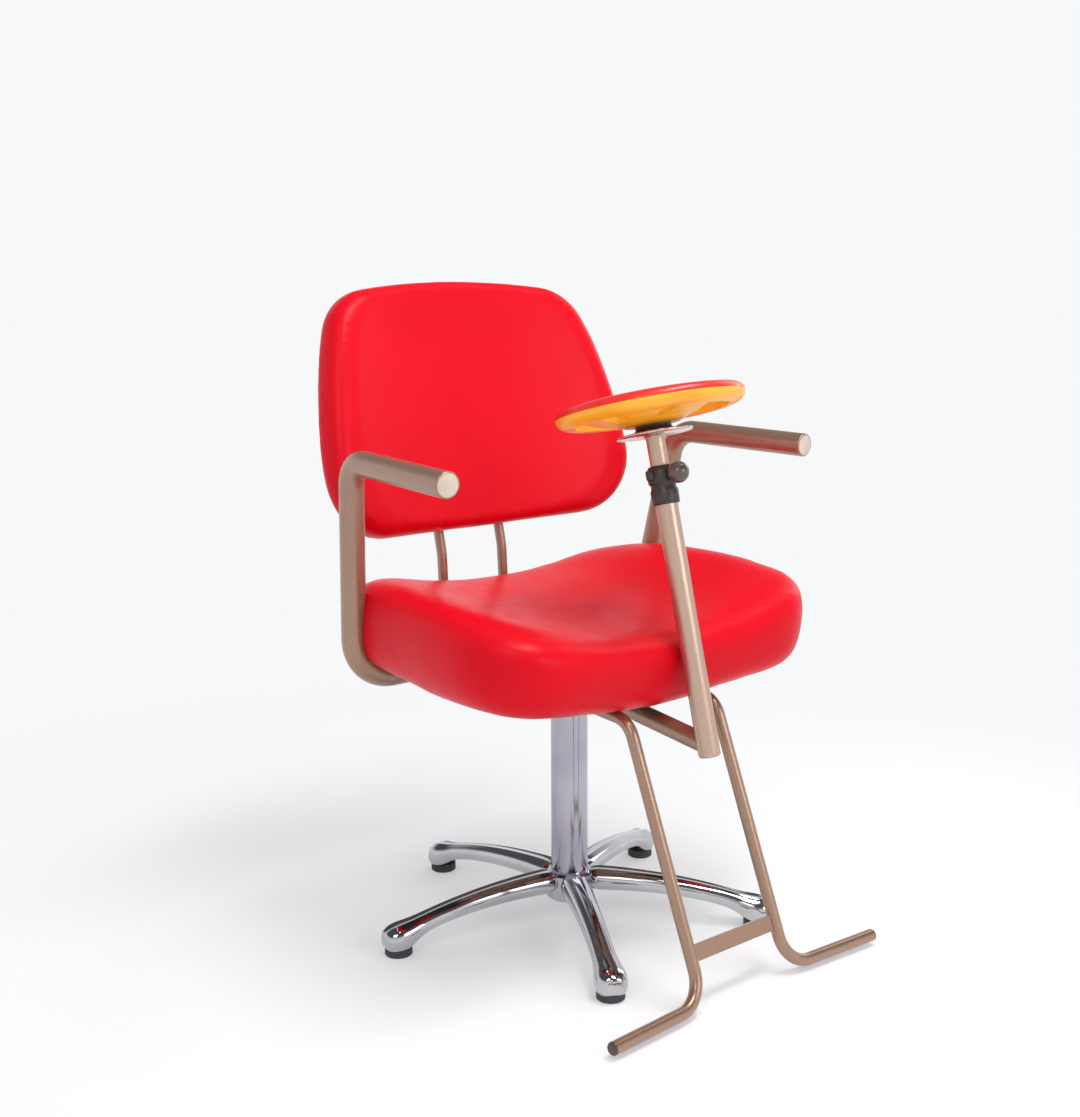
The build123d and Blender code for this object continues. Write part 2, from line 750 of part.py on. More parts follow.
# Backrest, in a plane that leans with it
def back_outline(inset):
    """A wide trapezoid with round corners, drawn in by this much all round."""
    low_x = back_low_half - inset
    middle_x = back_middle_half - inset
    top_x = back_top_half - inset
    top_v = back_length - inset
    middle_v = back_length / 2
    with BuildSketch() as outline:
        with BuildLine():
            Line((-low_x, inset), (low_x, inset))
            ThreePointArc((low_x, inset), (middle_x, middle_v), (top_x, top_v))
            ThreePointArc((top_x, top_v), (0, top_v + back_crown), (-top_x, top_v))
            ThreePointArc((-top_x, top_v), (-middle_x, middle_v), (-low_x, inset))
        make_face()
        fillet(outline.vertices().group_by(Axis.Y)[0], back_low_corner - inset)
        fillet(outline.vertices().group_by(Axis.Y)[-1], back_top_corner - inset)
    return outline.sketch


# Radii of the backrest's curved faces, about an axis in front of it
back_centre = back_curve + back_thickness / 2
back_rear_radius = back_curve + back_thickness
panel_front_radius = back_rear_radius - panel_thickness


def curved_slab(inner_radius, outer_radius):
    """A slab bent round the sitter, taller and wider than the backrest."""
    spread = degrees(asin((back_low_half + back_thickness) / back_curve))
    with BuildPart() as slab:
        with BuildSketch(back_section_plane):
            with BuildLine():
                outer_arc = CenterArc((0, -back_centre), outer_radius, 90 - spread, 2 * spread)
                inner_arc = CenterArc((0, -back_centre), inner_radius, 90 - spread, 2 * spread)
                Line(outer_arc @ 0, inner_arc @ 0)
                Line(outer_arc @ 1, inner_arc @ 1)
            make_face()
        extrude(amount=2 * back_length, both=True)
    return slab.part


# Backrest pad: curved round the sitter, with full edges and a recess for the panel
with BuildPart() as backrest_cushion:
    with BuildSketch(back_plane):
        add(back_outline(0))
    extrude(amount=2 * back_thickness, both=True)
    add(curved_slab(back_curve, back_rear_radius), mode=Mode.INTERSECT)
    back_faces = backrest_cushion.faces().filter_by(GeomType.CYLINDER).sort_by(SortBy.AREA)[-2:]
    fillet(back_faces.sort_by(Axis.Y)[0].edges(), back_front_edge)
    back_faces = backrest_cushion.faces().filter_by(GeomType.CYLINDER).sort_by(SortBy.AREA)[-2:]
    fillet(back_faces.sort_by(Axis.Y)[-1].edges(), back_rear_edge)

# Room for the rear panel, with a little play round its rim
with BuildPart() as panel_room:
    with BuildSketch(back_plane):
        add(back_outline(panel_margin - soft_gap))
    extrude(amount=2 * back_thickness, both=True)
    add(curved_slab(panel_front_radius, back_rear_radius + overrun), mode=Mode.INTERSECT)

with BuildPart() as backrest_pad:
    add(backrest_cushion.part)
    add(panel_room.part, mode=Mode.SUBTRACT)
backrest_pad.part.label = "backrest_cushion"
export_step(backrest_pad.part, "parts/backrest_cushion.step")

# Places along the bars: the panel's rear face is curved, so the bars stand a little
# nearer to the sitter than they would in the middle
bar_depth = sqrt((back_rear_radius + bar_radius + fixed_gap) ** 2 - bar_x**2) - back_centre


def back_point(x, v):
    """A point on a bar's axis, at a length v up the leaning back."""
    y = back_low_y + v * sin(lean_back) + bar_depth * cos(lean_back)
    z = back_low + v * cos(lean_back) - bar_depth * sin(lean_back)
    return (x, y, z)


# Bars: they leave the plate behind the seat, rise and lean back along the panel
knee_v = (bar_knee - back_low + bar_depth * sin(lean_back)) / cos(lean_back)
back_bolt_spots = [
    Plane(origin=back_point(x, v), z_dir=back_plane.z_dir)
    for x in (-bar_x, bar_x)
    for v in (back_bolt_low, back_bolt_high)
]
for side, sign in (("left", 1), ("right", -1)):
    bar_points = [
        (sign * bar_x, bar_start, under_plate(bar_start, bar_radius)),
        (sign * bar_x, bar_heel, under_plate(bar_heel, bar_radius)),
        back_point(sign * bar_x, knee_v),
        back_point(sign * bar_x, bar_reach),
    ]
    bar = bent_bar(bar_points, [bar_heel_bend, bar_knee_bend], bar_radius)
    with BuildPart() as back_bar:
        add(bar.part)
        bar_end = back_bar.faces().filter_by(GeomType.PLANE).sort_by(Axis.Z)[-1]
        fillet(bar_end.edges(), bar_end_rounding)
        for spot in back_bolt_spots:
            with BuildSketch(spot):
                Circle(back_bolt_radius + fixed_gap)
            extrude(amount=bar_radius + overrun, both=True, mode=Mode.SUBTRACT)
    back_bar.part.label = f"back_bar_{side}"
    export_step(back_bar.part, f"parts/back_bar_{side}.step")

# Bolts through the bars into the panel
with BuildPart() as back_bolts:
    for spot in back_bolt_spots:
        with BuildSketch(spot.offset(-bar_radius - fixed_gap)):
            Circle(back_bolt_radius)
        extrude(amount=2 * (bar_radius + fixed_gap) + back_bolt_bite)
        with BuildSketch(spot.offset(-bar_radius - fixed_gap)):
            Circle(back_bolt_head_radius)
        extrude(amount=-back_bolt_head)
    flat_faces = back_bolts.faces().filter_by(GeomType.PLANE)
    head_faces = flat_faces.sort_by(Axis((0, 0, 0), back_plane.z_dir))[: len(back_bolt_spots)]
    fillet(head_faces.edges(), back_bolt_rounding)
back_bolts.part.label = "back_bolts"
export_step(back_bolts.part, "parts/back_bolts.step")

# Rear panel: a curved cover set flush into the back of the pad
with BuildPart() as back_panel:
    with BuildSketch(back_plane):
        add(back_outline(panel_margin))
    extrude(amount=2 * back_thickness, both=True)
    add(curved_slab(panel_front_radius, back_rear_radius), mode=Mode.INTERSECT)
    for spot in back_bolt_spots:
        with BuildSketch(spot):
            Circle(back_bolt_radius + fixed_gap)
        extrude(amount=bar_radius + back_bolt_bite + stop_gap, mode=Mode.SUBTRACT)
back_panel.part.label = "back_panel"
export_step(back_panel.part, "parts/back_panel.step")

# Footrest: two tubes that lean down from under the seat and turn out into pegs
foot_knee_z = under_plate(-foot_knee_y, foot_radius)
for side, sign in (("left", 1), ("right", -1)):
    foot_points = [
        (sign * foot_x, -foot_start, under_plate(-foot_start, foot_radius)),
        (sign * foot_x, -foot_knee_y, foot_knee_z),
        (sign * foot_x, -foot_toe_y, foot_toe_z),
        (sign * peg_tip_x, -peg_tip_y, foot_toe_z),
    ]
    foot_tube = bent_tube(foot_points, [foot_knee_bend, foot_toe_bend], foot_radius, foot_wall)
    foot_tube.part.label = f"footrest_tube_{side}"
    export_step(foot_tube.part, f"parts/footrest_tube_{side}.step")
    peg_plane = Plane(origin=foot_points[-1], z_dir=Vector(*foot_points[-1]) - Vector(*foot_points[-2]))
    with BuildPart() as peg_cap:
        with BuildSketch(peg_plane):
            Circle(foot_radius)
        extrude(amount=peg_cap_thickness)
        peg_faces = peg_cap.faces().filter_by(GeomType.PLANE)
        peg_face = peg_faces.sort_by(Axis((0, 0, 0), peg_plane.z_dir))[-1]
        fillet(peg_face.edges(), peg_cap_rounding)
        with BuildSketch(peg_plane):
            Circle(foot_radius - foot_wall - fixed_gap)
        extrude(amount=-peg_cap_spigot)
    peg_cap.part.label = f"peg_cap_{side}"
    export_step(peg_cap.part, f"parts/peg_cap_{side}.step")

# Rung: a flat bar between the footrest tubes, in line with their lean
foot_fall = Vector(0, foot_knee_y - foot_toe_y, foot_toe_z - foot_knee_z).normalized()
rung_share = (foot_knee_z - rung_z) / (foot_knee_z - foot_toe_z)
rung_y = -foot_knee_y + rung_share * (foot_knee_y - foot_toe_y)
rung_plane = Plane(origin=(0, rung_y, rung_z), x_dir=(1, 0, 0), z_dir=Vector(1, 0, 0).cross(foot_fall))
with BuildPart() as footrest_rung:
    with BuildSketch(rung_plane):
        Rectangle(2 * (foot_x - foot_radius - fixed_gap), rung_height)
    extrude(amount=rung_thickness / 2, both=True)
footrest_rung.part.label = "footrest_rung"
export_step(footrest_rung.part, "parts/footrest_rung.step")

# Mast: a tube in front of the seat that leans towards the sitter, closed at its foot
with BuildPart() as mast_tube:
    with BuildSketch(mast_plane.offset(-mast_tail)):
        Circle(mast_radius)
    extrude(amount=mast_tail + mast_top)
    fillet(mast_tube.edges().sort_by(Axis.Z)[0], mast_end_rounding)
    with BuildSketch(mast_plane.offset(mast_floor - mast_tail)):
        Circle(mast_radius - mast_wall)
    extrude(amount=mast_tail + mast_top, mode=Mode.SUBTRACT)
mast_tube.part.label = "mast_tube"
export_step(mast_tube.part, "parts/mast_tube.step")

# Reach arm: the tube from the lift housing to the foot of the mast
reach_start = Vector(0, overrun - housing_front, reach_arm_rear_z)
reach_run = Vector(0, -mast_foot_y, mast_foot_z) - reach_start
with BuildPart() as reach_arm:
    with BuildSketch(Plane(origin=reach_start, z_dir=reach_run)):
        Circle(mast_radius)
        Circle(mast_radius - mast_wall, mode=Mode.SUBTRACT)
    extrude(amount=reach_run.length)
    with BuildSketch(mast_plane.offset(-mast_top)):
        Circle(mast_radius + fixed_gap)
    extrude(amount=2 * mast_top, mode=Mode.SUBTRACT)
    split(bisect_by=Plane.XZ.offset(housing_front + fixed_gap), keep=Keep.TOP)
reach_arm.part.label = "reach_arm"
export_step(reach_arm.part, "parts/reach_arm.step")

# Sliding tube: it telescopes in the mast and carries the wheel
slide_radius = mast_radius - mast_wall - running_gap
with BuildPart() as slide_tube:
    with BuildSketch(mast_plane.offset(slide_bottom)):
        Circle(slide_radius)
        Circle(slide_radius - slide_wall, mode=Mode.SUBTRACT)
    extrude(amount=slide_top - slide_bottom)
slide_tube.part.label = "slide_tube"
export_step(slide_tube.part, "parts/slide_tube.step")

# Clamp collar: a sleeve on the mast's top with a thicker band and a boss for the knob
knob_plane = Plane(
    origin=mast_plane.offset(knob_station).origin, x_dir=(1, 0, 0), z_dir=-mast_plane.y_dir
)
with BuildPart() as clamp_collar:
    with BuildSketch(mast_plane.offset(collar_bottom)):
        Circle(collar_radius)
    extrude(amount=collar_top - collar_bottom)
    with BuildSketch(mast_plane.offset(collar_band_bottom)):
        Circle(collar_band_radius)
    extrude(amount=collar_top - collar_band_bottom)
    collar_rims = clamp_collar.edges().filter_by(GeomType.CIRCLE).sort_by(mast_axis)
    chamfer([collar_rims[0], collar_rims[-1]], collar_edge)
    with BuildSketch(knob_plane):
        Circle(boss_radius)
    extrude(amount=boss_reach, both=True)
    with BuildSketch(mast_plane.offset(collar_bottom - overrun)):
        Circle(mast_radius + fixed_gap)
    extrude(amount=mast_top + fixed_gap - collar_bottom + overrun, mode=Mode.SUBTRACT)
    with BuildSketch(mast_plane.offset(collar_bottom)):
        Circle(slide_radius + running_gap)
    extrude(amount=collar_top - collar_bottom + overrun, mode=Mode.SUBTRACT)
    with BuildSketch(knob_plane):
        Circle(stud_radius + running_gap)
    extrude(amount=boss_reach + overrun, mode=Mode.SUBTRACT)
clamp_collar.part.label = "clamp_collar"
export_step(clamp_collar.part, "parts/clamp_collar.step")

# Clamp knob: a ball that is flat against the boss, on its stud
knob_face = boss_reach + soft_gap
with BuildPart() as clamp_knob:
    with Locations(knob_plane.offset(knob_reach)):
        Sphere(knob_radius)
    split(bisect_by=knob_plane.offset(knob_face), keep=Keep.TOP)
    with BuildSketch(knob_plane.offset(knob_face)):
        Circle(stud_radius + fixed_gap)
    extrude(amount=stud_in_knob, mode=Mode.SUBTRACT)
clamp_knob.part.label = "clamp_knob"
export_step(clamp_knob.part, "parts/clamp_knob.step")

with BuildPart() as clamp_stud:
    with BuildSketch(knob_plane.offset(slide_radius + soft_gap)):
        Circle(stud_radius)
    extrude(amount=knob_face + stud_in_knob - slide_radius - soft_gap)
clamp_stud.part.label = "clamp_stud"
export_step(clamp_stud.part, "parts/clamp_stud.step")

# Wheel flange: a disc on the sliding tube's end
flange_top = slide_top + flange_thickness
with BuildPart() as wheel_flange:
    with BuildSketch(mast_plane.offset(slide_top)):
        Circle(flange_radius)
        Circle(spindle_radius + fixed_gap, mode=Mode.SUBTRACT)
    extrude(amount=flange_thickness)
wheel_flange.part.label = "wheel_flange"
export_step(wheel_flange.part, "parts/wheel_flange.step")

# Spindle: a bolt from inside the tube through the flange and the wheel's hub
with BuildPart() as wheel_spindle:
    with BuildSketch(mast_plane.offset(slide_top - spindle_head)):
        Circle(spindle_head_radius)
    extrude(amount=spindle_head)
    with BuildSketch(mast_plane.offset(slide_top)):
        Circle(spindle_radius)
    extrude(amount=flange_thickness + spindle_top)
wheel_spindle.part.label = "wheel_spindle"
export_step(wheel_spindle.part, "parts/wheel_spindle.step")

# Nylon washer that the wheel turns on
with BuildPart() as wheel_washer:
    with BuildSketch(mast_plane.offset(flange_top)):
        Circle(washer_radius)
        Circle(spindle_radius + fixed_gap, mode=Mode.SUBTRACT)
    extrude(amount=washer_thickness)
wheel_washer.part.label = "wheel_washer"
export_step(wheel_washer.part, "parts/wheel_washer.step")

# Wheel body: rim underside, web with spokes, and hub in one moulding
hub_bottom_s = flange_top + washer_thickness + running_gap
rim_bottom_s = hub_bottom_s + stop_gap
rim_split_s = rim_bottom_s + rim_low_height
rim_inner = wheel_radius - rim_width
with BuildPart() as wheel_body:
    with BuildSketch(mast_plane.offset(rim_bottom_s)):
        Circle(wheel_radius)
        Circle(rim_inner, mode=Mode.SUBTRACT)
    extrude(amount=rim_low_height)
    low_rims = wheel_body.edges().filter_by(GeomType.CIRCLE).sort_by(mast_axis)[:2]
    fillet(low_rims, rim_low_rounding)
    with BuildSketch(mast_plane.offset(rim_split_s - web_thickness)):
        Circle(hub_disc_radius)
        with PolarLocations(0, spoke_count, start_angle=-90):
            with Locations((rim_inner / 2 + rim_width / 4, 0)):
                Rectangle(rim_inner + rim_width / 2, spoke_width)
    extrude(amount=web_thickness)
    with BuildSketch(mast_plane.offset(hub_bottom_s)):
        Circle(wheel_hub_radius)
    extrude(amount=rim_split_s - hub_bottom_s)
    with BuildSketch(mast_plane.offset(hub_bottom_s - overrun)):
        Circle(spindle_radius + running_gap)
    extrude(amount=rim_split_s - hub_bottom_s + 2 * overrun, mode=Mode.SUBTRACT)
wheel_body.part.label = "wheel_body"
export_step(wheel_body.part, "parts/wheel_body.step")

# Wheel cover: the red upper half of the rim with its spokes and middle disc
cover_bottom_s = rim_split_s + fixed_gap
with BuildPart() as wheel_cover:
    with BuildSketch(mast_plane.offset(cover_bottom_s)):
        Circle(wheel_radius)
        Circle(rim_inner, mode=Mode.SUBTRACT)
    extrude(amount=rim_high_height)
    high_rims = wheel_cover.edges().filter_by(GeomType.CIRCLE).sort_by(mast_axis)[-2:]
    fillet(high_rims, rim_high_rounding)
    with BuildSketch(mast_plane.offset(cover_bottom_s)):
        Circle(cover_disc_radius)
        with PolarLocations(0, spoke_count, start_angle=-90):
            with Locations((rim_inner / 2 + rim_width / 4, 0)):
                Rectangle(rim_inner + rim_width / 2, cover_spoke_width)
    extrude(amount=cover_thickness)
    with BuildSketch(mast_plane.offset(cover_bottom_s - overrun)):
        Circle(wheel_hub_radius)
    extrude(amount=cover_thickness + 2 * overrun, mode=Mode.SUBTRACT)
wheel_cover.part.label = "wheel_cover"
export_step(wheel_cover.part, "parts/wheel_cover.step")

# Nut on the spindle, with running room over the hub
with BuildPart() as spindle_nut:
    with BuildSketch(mast_plane.offset(rim_split_s + stop_gap)):
        RegularPolygon(nut_radius, 6)
        Circle(spindle_radius + fixed_gap, mode=Mode.SUBTRACT)
    extrude(amount=nut_height)
spindle_nut.part.label = "spindle_nut"
export_step(spindle_nut.part, "parts/spindle_nut.step")

# Horn cap: a domed cap on the middle of the wheel
cap_bottom_s = cover_bottom_s + cover_thickness + fixed_gap
with BuildPart() as horn_cap:
    with BuildSketch(mast_plane.offset(cap_bottom_s)):
        Circle(cap_disc_radius)
    extrude(amount=cap_disc_height)
    cap_top = horn_cap.faces().filter_by(GeomType.PLANE).sort_by(Axis.Z)[-1]
    fillet(cap_top.edges(), cap_disc_rounding)
    with BuildSketch(mast_plane.offset(cap_bottom_s)):
        Circle(cap_disc_radius - cap_disc_rounding)
    extrude(amount=cap_disc_height - cap_disc_wall, mode=Mode.SUBTRACT)
horn_cap.part.label = "horn_cap"
export_step(horn_cap.part, "parts/horn_cap.step")
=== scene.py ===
import json
import math

import bpy
import numpy as np
from mathutils import Matrix, Vector


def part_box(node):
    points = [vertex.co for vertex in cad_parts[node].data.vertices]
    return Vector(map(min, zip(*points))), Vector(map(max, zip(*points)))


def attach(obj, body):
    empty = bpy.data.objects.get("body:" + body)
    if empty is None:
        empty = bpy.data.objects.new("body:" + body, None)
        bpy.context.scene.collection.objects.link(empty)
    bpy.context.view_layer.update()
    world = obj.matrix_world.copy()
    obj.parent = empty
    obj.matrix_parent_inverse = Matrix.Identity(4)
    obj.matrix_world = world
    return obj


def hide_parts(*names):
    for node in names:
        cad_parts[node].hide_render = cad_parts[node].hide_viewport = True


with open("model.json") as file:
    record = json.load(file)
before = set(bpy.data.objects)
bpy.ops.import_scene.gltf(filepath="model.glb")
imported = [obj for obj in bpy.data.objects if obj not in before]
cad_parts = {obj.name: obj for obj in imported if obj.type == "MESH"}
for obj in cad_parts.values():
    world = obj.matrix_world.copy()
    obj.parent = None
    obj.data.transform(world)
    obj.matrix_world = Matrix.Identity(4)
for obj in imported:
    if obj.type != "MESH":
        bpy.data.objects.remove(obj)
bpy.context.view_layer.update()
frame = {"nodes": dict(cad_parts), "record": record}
parts = frame["nodes"]
scene = bpy.context.scene


# ---- Camera: the photographer stood to the sitter's right, a little above the seat ----

camera_place = (-1.360955, -1.518933, 0.866650)
camera_heading, camera_dip, camera_roll = -0.711917, 0.177716, -0.005654

bpy.ops.object.select_all(action="DESELECT")
bpy.ops.object.camera_add(location=camera_place)
studio_camera = bpy.context.object
studio_camera.name = "studio_camera"
aim = Matrix.Rotation(camera_heading, 3, "Z") @ Matrix.Rotation(math.pi / 2 - camera_dip, 3, "X")
studio_camera.rotation_euler = (aim @ Matrix.Rotation(camera_roll, 3, "Z")).to_euler()
studio_camera.data.lens = 50.486
studio_camera.data.sensor_width = 36
studio_camera.data.sensor_fit = "AUTO"
studio_camera.data.clip_end = 50
scene.camera = studio_camera
scene.view_settings.view_transform = "Standard"


# ---- Small helps used by many pieces ----

merge_distance = 0.00002


def object_mode():
    bpy.ops.object.mode_set(mode="OBJECT")


def edit_mode(kind, action):
    """Edit mode for points, edges or faces, with everything selected or nothing."""
    bpy.ops.object.mode_set(mode="EDIT")
    bpy.ops.mesh.select_mode(type=kind)
    bpy.ops.mesh.select_all(action=action)


def deselect_all():
    if bpy.context.object and bpy.context.object.mode != "OBJECT":
        object_mode()
    bpy.ops.object.select_all(action="DESELECT")


def work_on(piece):
    deselect_all()
    piece.select_set(True)
    bpy.context.view_layer.objects.active = piece


def settle(piece):
    """The piece's place, turn and size go into its mesh, so its object sits at the origin."""
    work_on(piece)
    bpy.ops.object.transform_apply(location=True, rotation=True, scale=True)


def face_outwards():
    edit_mode("VERT", "SELECT")
    bpy.ops.mesh.normals_make_consistent(inside=False)
    object_mode()


def pick_faces(piece, wanted):
    """Edit mode with the faces selected that the test wants, by their middle and normal."""
    bpy.ops.object.mode_set(mode="EDIT")
    bpy.ops.mesh.select_mode(type="FACE")
    object_mode()
    for face in piece.data.polygons:
        face.select = wanted(face.center, face.normal)
    bpy.ops.object.mode_set(mode="EDIT")


def smooth_by_angle(degrees):
    bpy.ops.object.shade_smooth_by_angle(angle=math.radians(degrees))


def apply_modifier(piece, kind, **settings):
    modifier = piece.modifiers.new(kind.lower(), kind)
    for key, value in settings.items():
        setattr(modifier, key, value)
    bpy.ops.object.modifier_apply(modifier=modifier.name)


def set_round(piece, count, first_angle):
    """The piece and its copies, each with its own mesh, spread evenly round the Z axis."""
    pieces = [piece]
    for _ in range(count - 1):
        work_on(piece)
        bpy.ops.object.duplicate()
        pieces.append(bpy.context.object)
    for number, each in enumerate(pieces):
        each.rotation_euler = (0, 0, math.radians(first_angle + 360 / count * number))
        settle(each)
    return pieces


def join_onto(piece, others):
    work_on(piece)
    for each in others:
        each.select_set(True)
    bpy.ops.object.join()


def put_on(piece, body, slot, *finishes):
    piece.data.materials.clear()
    for finish in finishes:
        piece.data.materials.append(finish)
    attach(piece, body)


def linear(r, g, b):
    """A colour of 0 to 255 as the linear values that a shader takes."""
    def one(c):
        c = c / 255
        return c / 12.92 if c <= 0.04045 else ((c + 0.055) / 1.055) ** 2.4
    return (one(r), one(g), one(b), 1)


def smooth_step(low, high, value):
    t = min(max((value - low) / (high - low), 0), 1)
    return t * t * (3 - 2 * t)


# ---- Finishes ----

def add(holder, kind, **settings):
    """A new node in a material or world, with its inputs or its own settings filled in."""
    node = holder.node_tree.nodes.new(kind)
    for key, value in settings.items():
        if key in node.inputs.keys():
            node.inputs[key].default_value = value
        else:
            setattr(node, key, value)
    return node


def join(holder, out_socket, in_socket):
    holder.node_tree.links.new(out_socket, in_socket)


def new_finish(name):
    """A new material, with its shader and the piece's own coordinates."""
    finish = bpy.data.materials.new(name)
    finish.use_nodes = True
    place = add(finish, "ShaderNodeTexCoord").outputs["Object"]
    return finish, finish.node_tree.nodes["Principled BSDF"], place


def noise(finish, place, scale, detail):
    texture = add(finish, "ShaderNodeTexNoise", Scale=scale, Detail=detail)
    join(finish, place, texture.inputs["Vector"])
    return texture.outputs["Fac"]


def two_shades(holder, pattern, shades, positions):
    """A colour that drifts between a dark and a light shade with the pattern."""
    ramp = add(holder, "ShaderNodeValToRGB")
    for stop, shade, position in zip(ramp.color_ramp.elements, shades, positions):
        stop.position = position
        stop.color = shade
    join(holder, pattern, ramp.inputs["Fac"])
    return ramp.outputs["Color"]


def cloudy_colour(finish, shader, place, light, dark, scale, detail=3.0):
    """Base colour that drifts between two near shades."""
    pattern = noise(finish, place, scale, detail)
    join(finish, two_shades(finish, pattern, (dark, light), (0.35, 0.65)), shader.inputs["Base Color"])


def uneven_roughness(finish, shader, place, roughness, scale):
    """Roughness that drifts between its lowest and its highest value."""
    low, high = roughness
    spread = add(finish, "ShaderNodeMapRange")
    for name, value in (("From Min", 0.3), ("From Max", 0.7), ("To Min", low), ("To Max", high)):
        spread.inputs[name].default_value = value
    join(finish, noise(finish, place, scale, detail=4.0), spread.inputs["Value"])
    join(finish, spread.outputs["Result"], shader.inputs["Roughness"])


def bump(finish, shader, height, strength, distance):
    """A bump on the shader, laid over the bump that it has already."""
    node = add(finish, "ShaderNodeBump", Strength=strength, Distance=distance)
    join(finish, height, node.inputs["Height"])
    for link in shader.inputs["Normal"].links:
        join(finish, link.from_socket, node.inputs["Normal"])
    join(finish, node.outputs["Normal"], shader.inputs["Normal"])


def leatherette_finish(name, light, dark):
    """Smooth upholstery leatherette: fine pebbled grain, soft creases, a mild sheen."""
    finish, shader, place = new_finish(name)
    cloudy_colour(finish, shader, place, light, dark, scale=7)
    uneven_roughness(finish, shader, place, (0.30, 0.37), scale=30)
    shader.inputs["Specular IOR Level"].default_value = 0.11
    pebbles = add(finish, "ShaderNodeTexVoronoi", Scale=620.0)
    join(finish, place, pebbles.inputs["Vector"])
    bump(finish, shader, pebbles.outputs["Distance"], strength=0.11, distance=0.0005)
    creases = noise(finish, place, scale=26.0, detail=5.0)
    bump(finish, shader, creases, strength=0.05, distance=0.002)
    return finish


def metallic_paint(name, light, dark, metallic, roughness, coat=0.0):
    """Sprayed metallic paint: fine flakes, a slightly uneven skin."""
    finish, shader, place = new_finish(name)
    cloudy_colour(finish, shader, place, light, dark, scale=900, detail=2.0)
    uneven_roughness(finish, shader, place, roughness, scale=40)
    shader.inputs["Metallic"].default_value = metallic
    shader.inputs["Coat Weight"].default_value = coat
    shader.inputs["Coat Roughness"].default_value = 0.12
    skin = noise(finish, place, scale=180.0, detail=3.0)
    bump(finish, shader, skin, strength=0.03, distance=0.001)
    return finish


def plated_metal(name, light, dark, roughness):
    """Bright plating over polished metal: faint clouding and tiny waves."""
    finish, shader, place = new_finish(name)
    cloudy_colour(finish, shader, place, light, dark, scale=12)
    uneven_roughness(finish, shader, place, roughness, scale=55)
    shader.inputs["Metallic"].default_value = 1.0
    waves = noise(finish, place, scale=38.0, detail=2.0)
    bump(finish, shader, waves, strength=0.015, distance=0.003)
    return finish


def moulded_plastic(name, light, dark, roughness, grain=260.0, strength=0.03, coat=0.0):
    """Plastic, rubber or cloth, told apart by the size and depth of its grain."""
    finish, shader, place = new_finish(name)
    cloudy_colour(finish, shader, place, light, dark, scale=18)
    uneven_roughness(finish, shader, place, roughness, scale=60)
    shader.inputs["Coat Weight"].default_value = coat
    shader.inputs["Coat Roughness"].default_value = 0.08
    skin = noise(finish, place, scale=grain, detail=2.0)
    bump(finish, shader, skin, strength, distance=0.001)
    return finish


def plywood_finish(name, light, dark):
    finish, shader, place = new_finish(name)
    rings = add(finish, "ShaderNodeTexWave", Scale=9.0, Distortion=6.0, Detail=3.0)
    join(finish, place, rings.inputs["Vector"])
    ring_colour = two_shades(finish, rings.outputs["Fac"], (dark, light), (0, 1))
    join(finish, ring_colour, shader.inputs["Base Color"])
    uneven_roughness(finish, shader, place, (0.6, 0.75), scale=30)
    bump(finish, shader, rings.outputs["Fac"], strength=0.08, distance=0.001)
    return finish


red_leatherette = leatherette_finish("red_leatherette", linear(210, 8, 29), linear(204, 7, 27))
bronze_paint = metallic_paint(
    "bronze_paint", linear(172, 140, 120), linear(150, 118, 100),
    metallic=0.62, roughness=(0.3, 0.38), coat=0.25)
champagne_plate = metallic_paint(
    "champagne_plate", linear(203, 176, 157), linear(188, 160, 142),
    metallic=0.9, roughness=(0.33, 0.41), coat=0.1)
footrest_bronze = metallic_paint(
    "footrest_bronze", linear(172, 140, 119), linear(150, 120, 101),
    metallic=0.72, roughness=(0.28, 0.35), coat=0.3)
chrome_plate = plated_metal(
    "chrome_plate", linear(198, 199, 203), linear(182, 183, 187), roughness=(0.06, 0.12))
# A darker, violet-grey copy of the chrome for the column: the lowered base colour is painted shade,
# standing in for the dim reflections it picks up under the seat.
shaded_column_chrome = plated_metal(
    "shaded_column_chrome", linear(178, 176, 186), linear(162, 160, 171), roughness=(0.1, 0.15))
# Silver plate for the flange; its faint pink cast is a painted reflection of the red seat pad.
flange_metal = plated_metal(
    "flange_metal", linear(222, 208, 204), linear(200, 184, 181), roughness=(0.16, 0.24))
cream_plastic = moulded_plastic(
    "cream_plastic", linear(212, 196, 182), linear(184, 166, 152), roughness=(0.3, 0.4))
black_rubber = moulded_plastic(
    "black_rubber", linear(62, 62, 66), linear(44, 44, 48), roughness=(0.6, 0.75))
dark_plastic = moulded_plastic(
    "dark_plastic", linear(74, 62, 58), linear(54, 45, 42), roughness=(0.3, 0.42))
dark_ball = moulded_plastic(
    "dark_ball", linear(92, 78, 72), linear(72, 60, 55), roughness=(0.2, 0.28), coat=0.5)
dark_paint = metallic_paint(
    "dark_paint", linear(70, 60, 58), linear(48, 40, 38), metallic=0.2, roughness=(0.3, 0.42))
black_shell = moulded_plastic(
    "black_shell", linear(40, 38, 40), linear(28, 27, 29),
    roughness=(0.5, 0.62), grain=700.0, strength=0.25)
steel_finish = plated_metal(
    "zinc_steel", linear(186, 188, 190), linear(160, 162, 166), roughness=(0.28, 0.4))
yellow_plastic = moulded_plastic(
    "yellow_plastic", linear(252, 184, 44), linear(246, 168, 34), roughness=(0.3, 0.38), coat=0.12)
red_plastic = moulded_plastic(
    "red_plastic", linear(226, 40, 28), linear(214, 32, 24), roughness=(0.3, 0.38), coat=0.12)
bare_plywood = plywood_finish("bare_plywood", linear(206, 168, 118), linear(166, 124, 80))
dust_cloth = moulded_plastic(
    "black_dust_cloth", linear(50, 48, 48), linear(38, 37, 38),
    roughness=(0.75, 0.88), grain=900.0, strength=0.2)

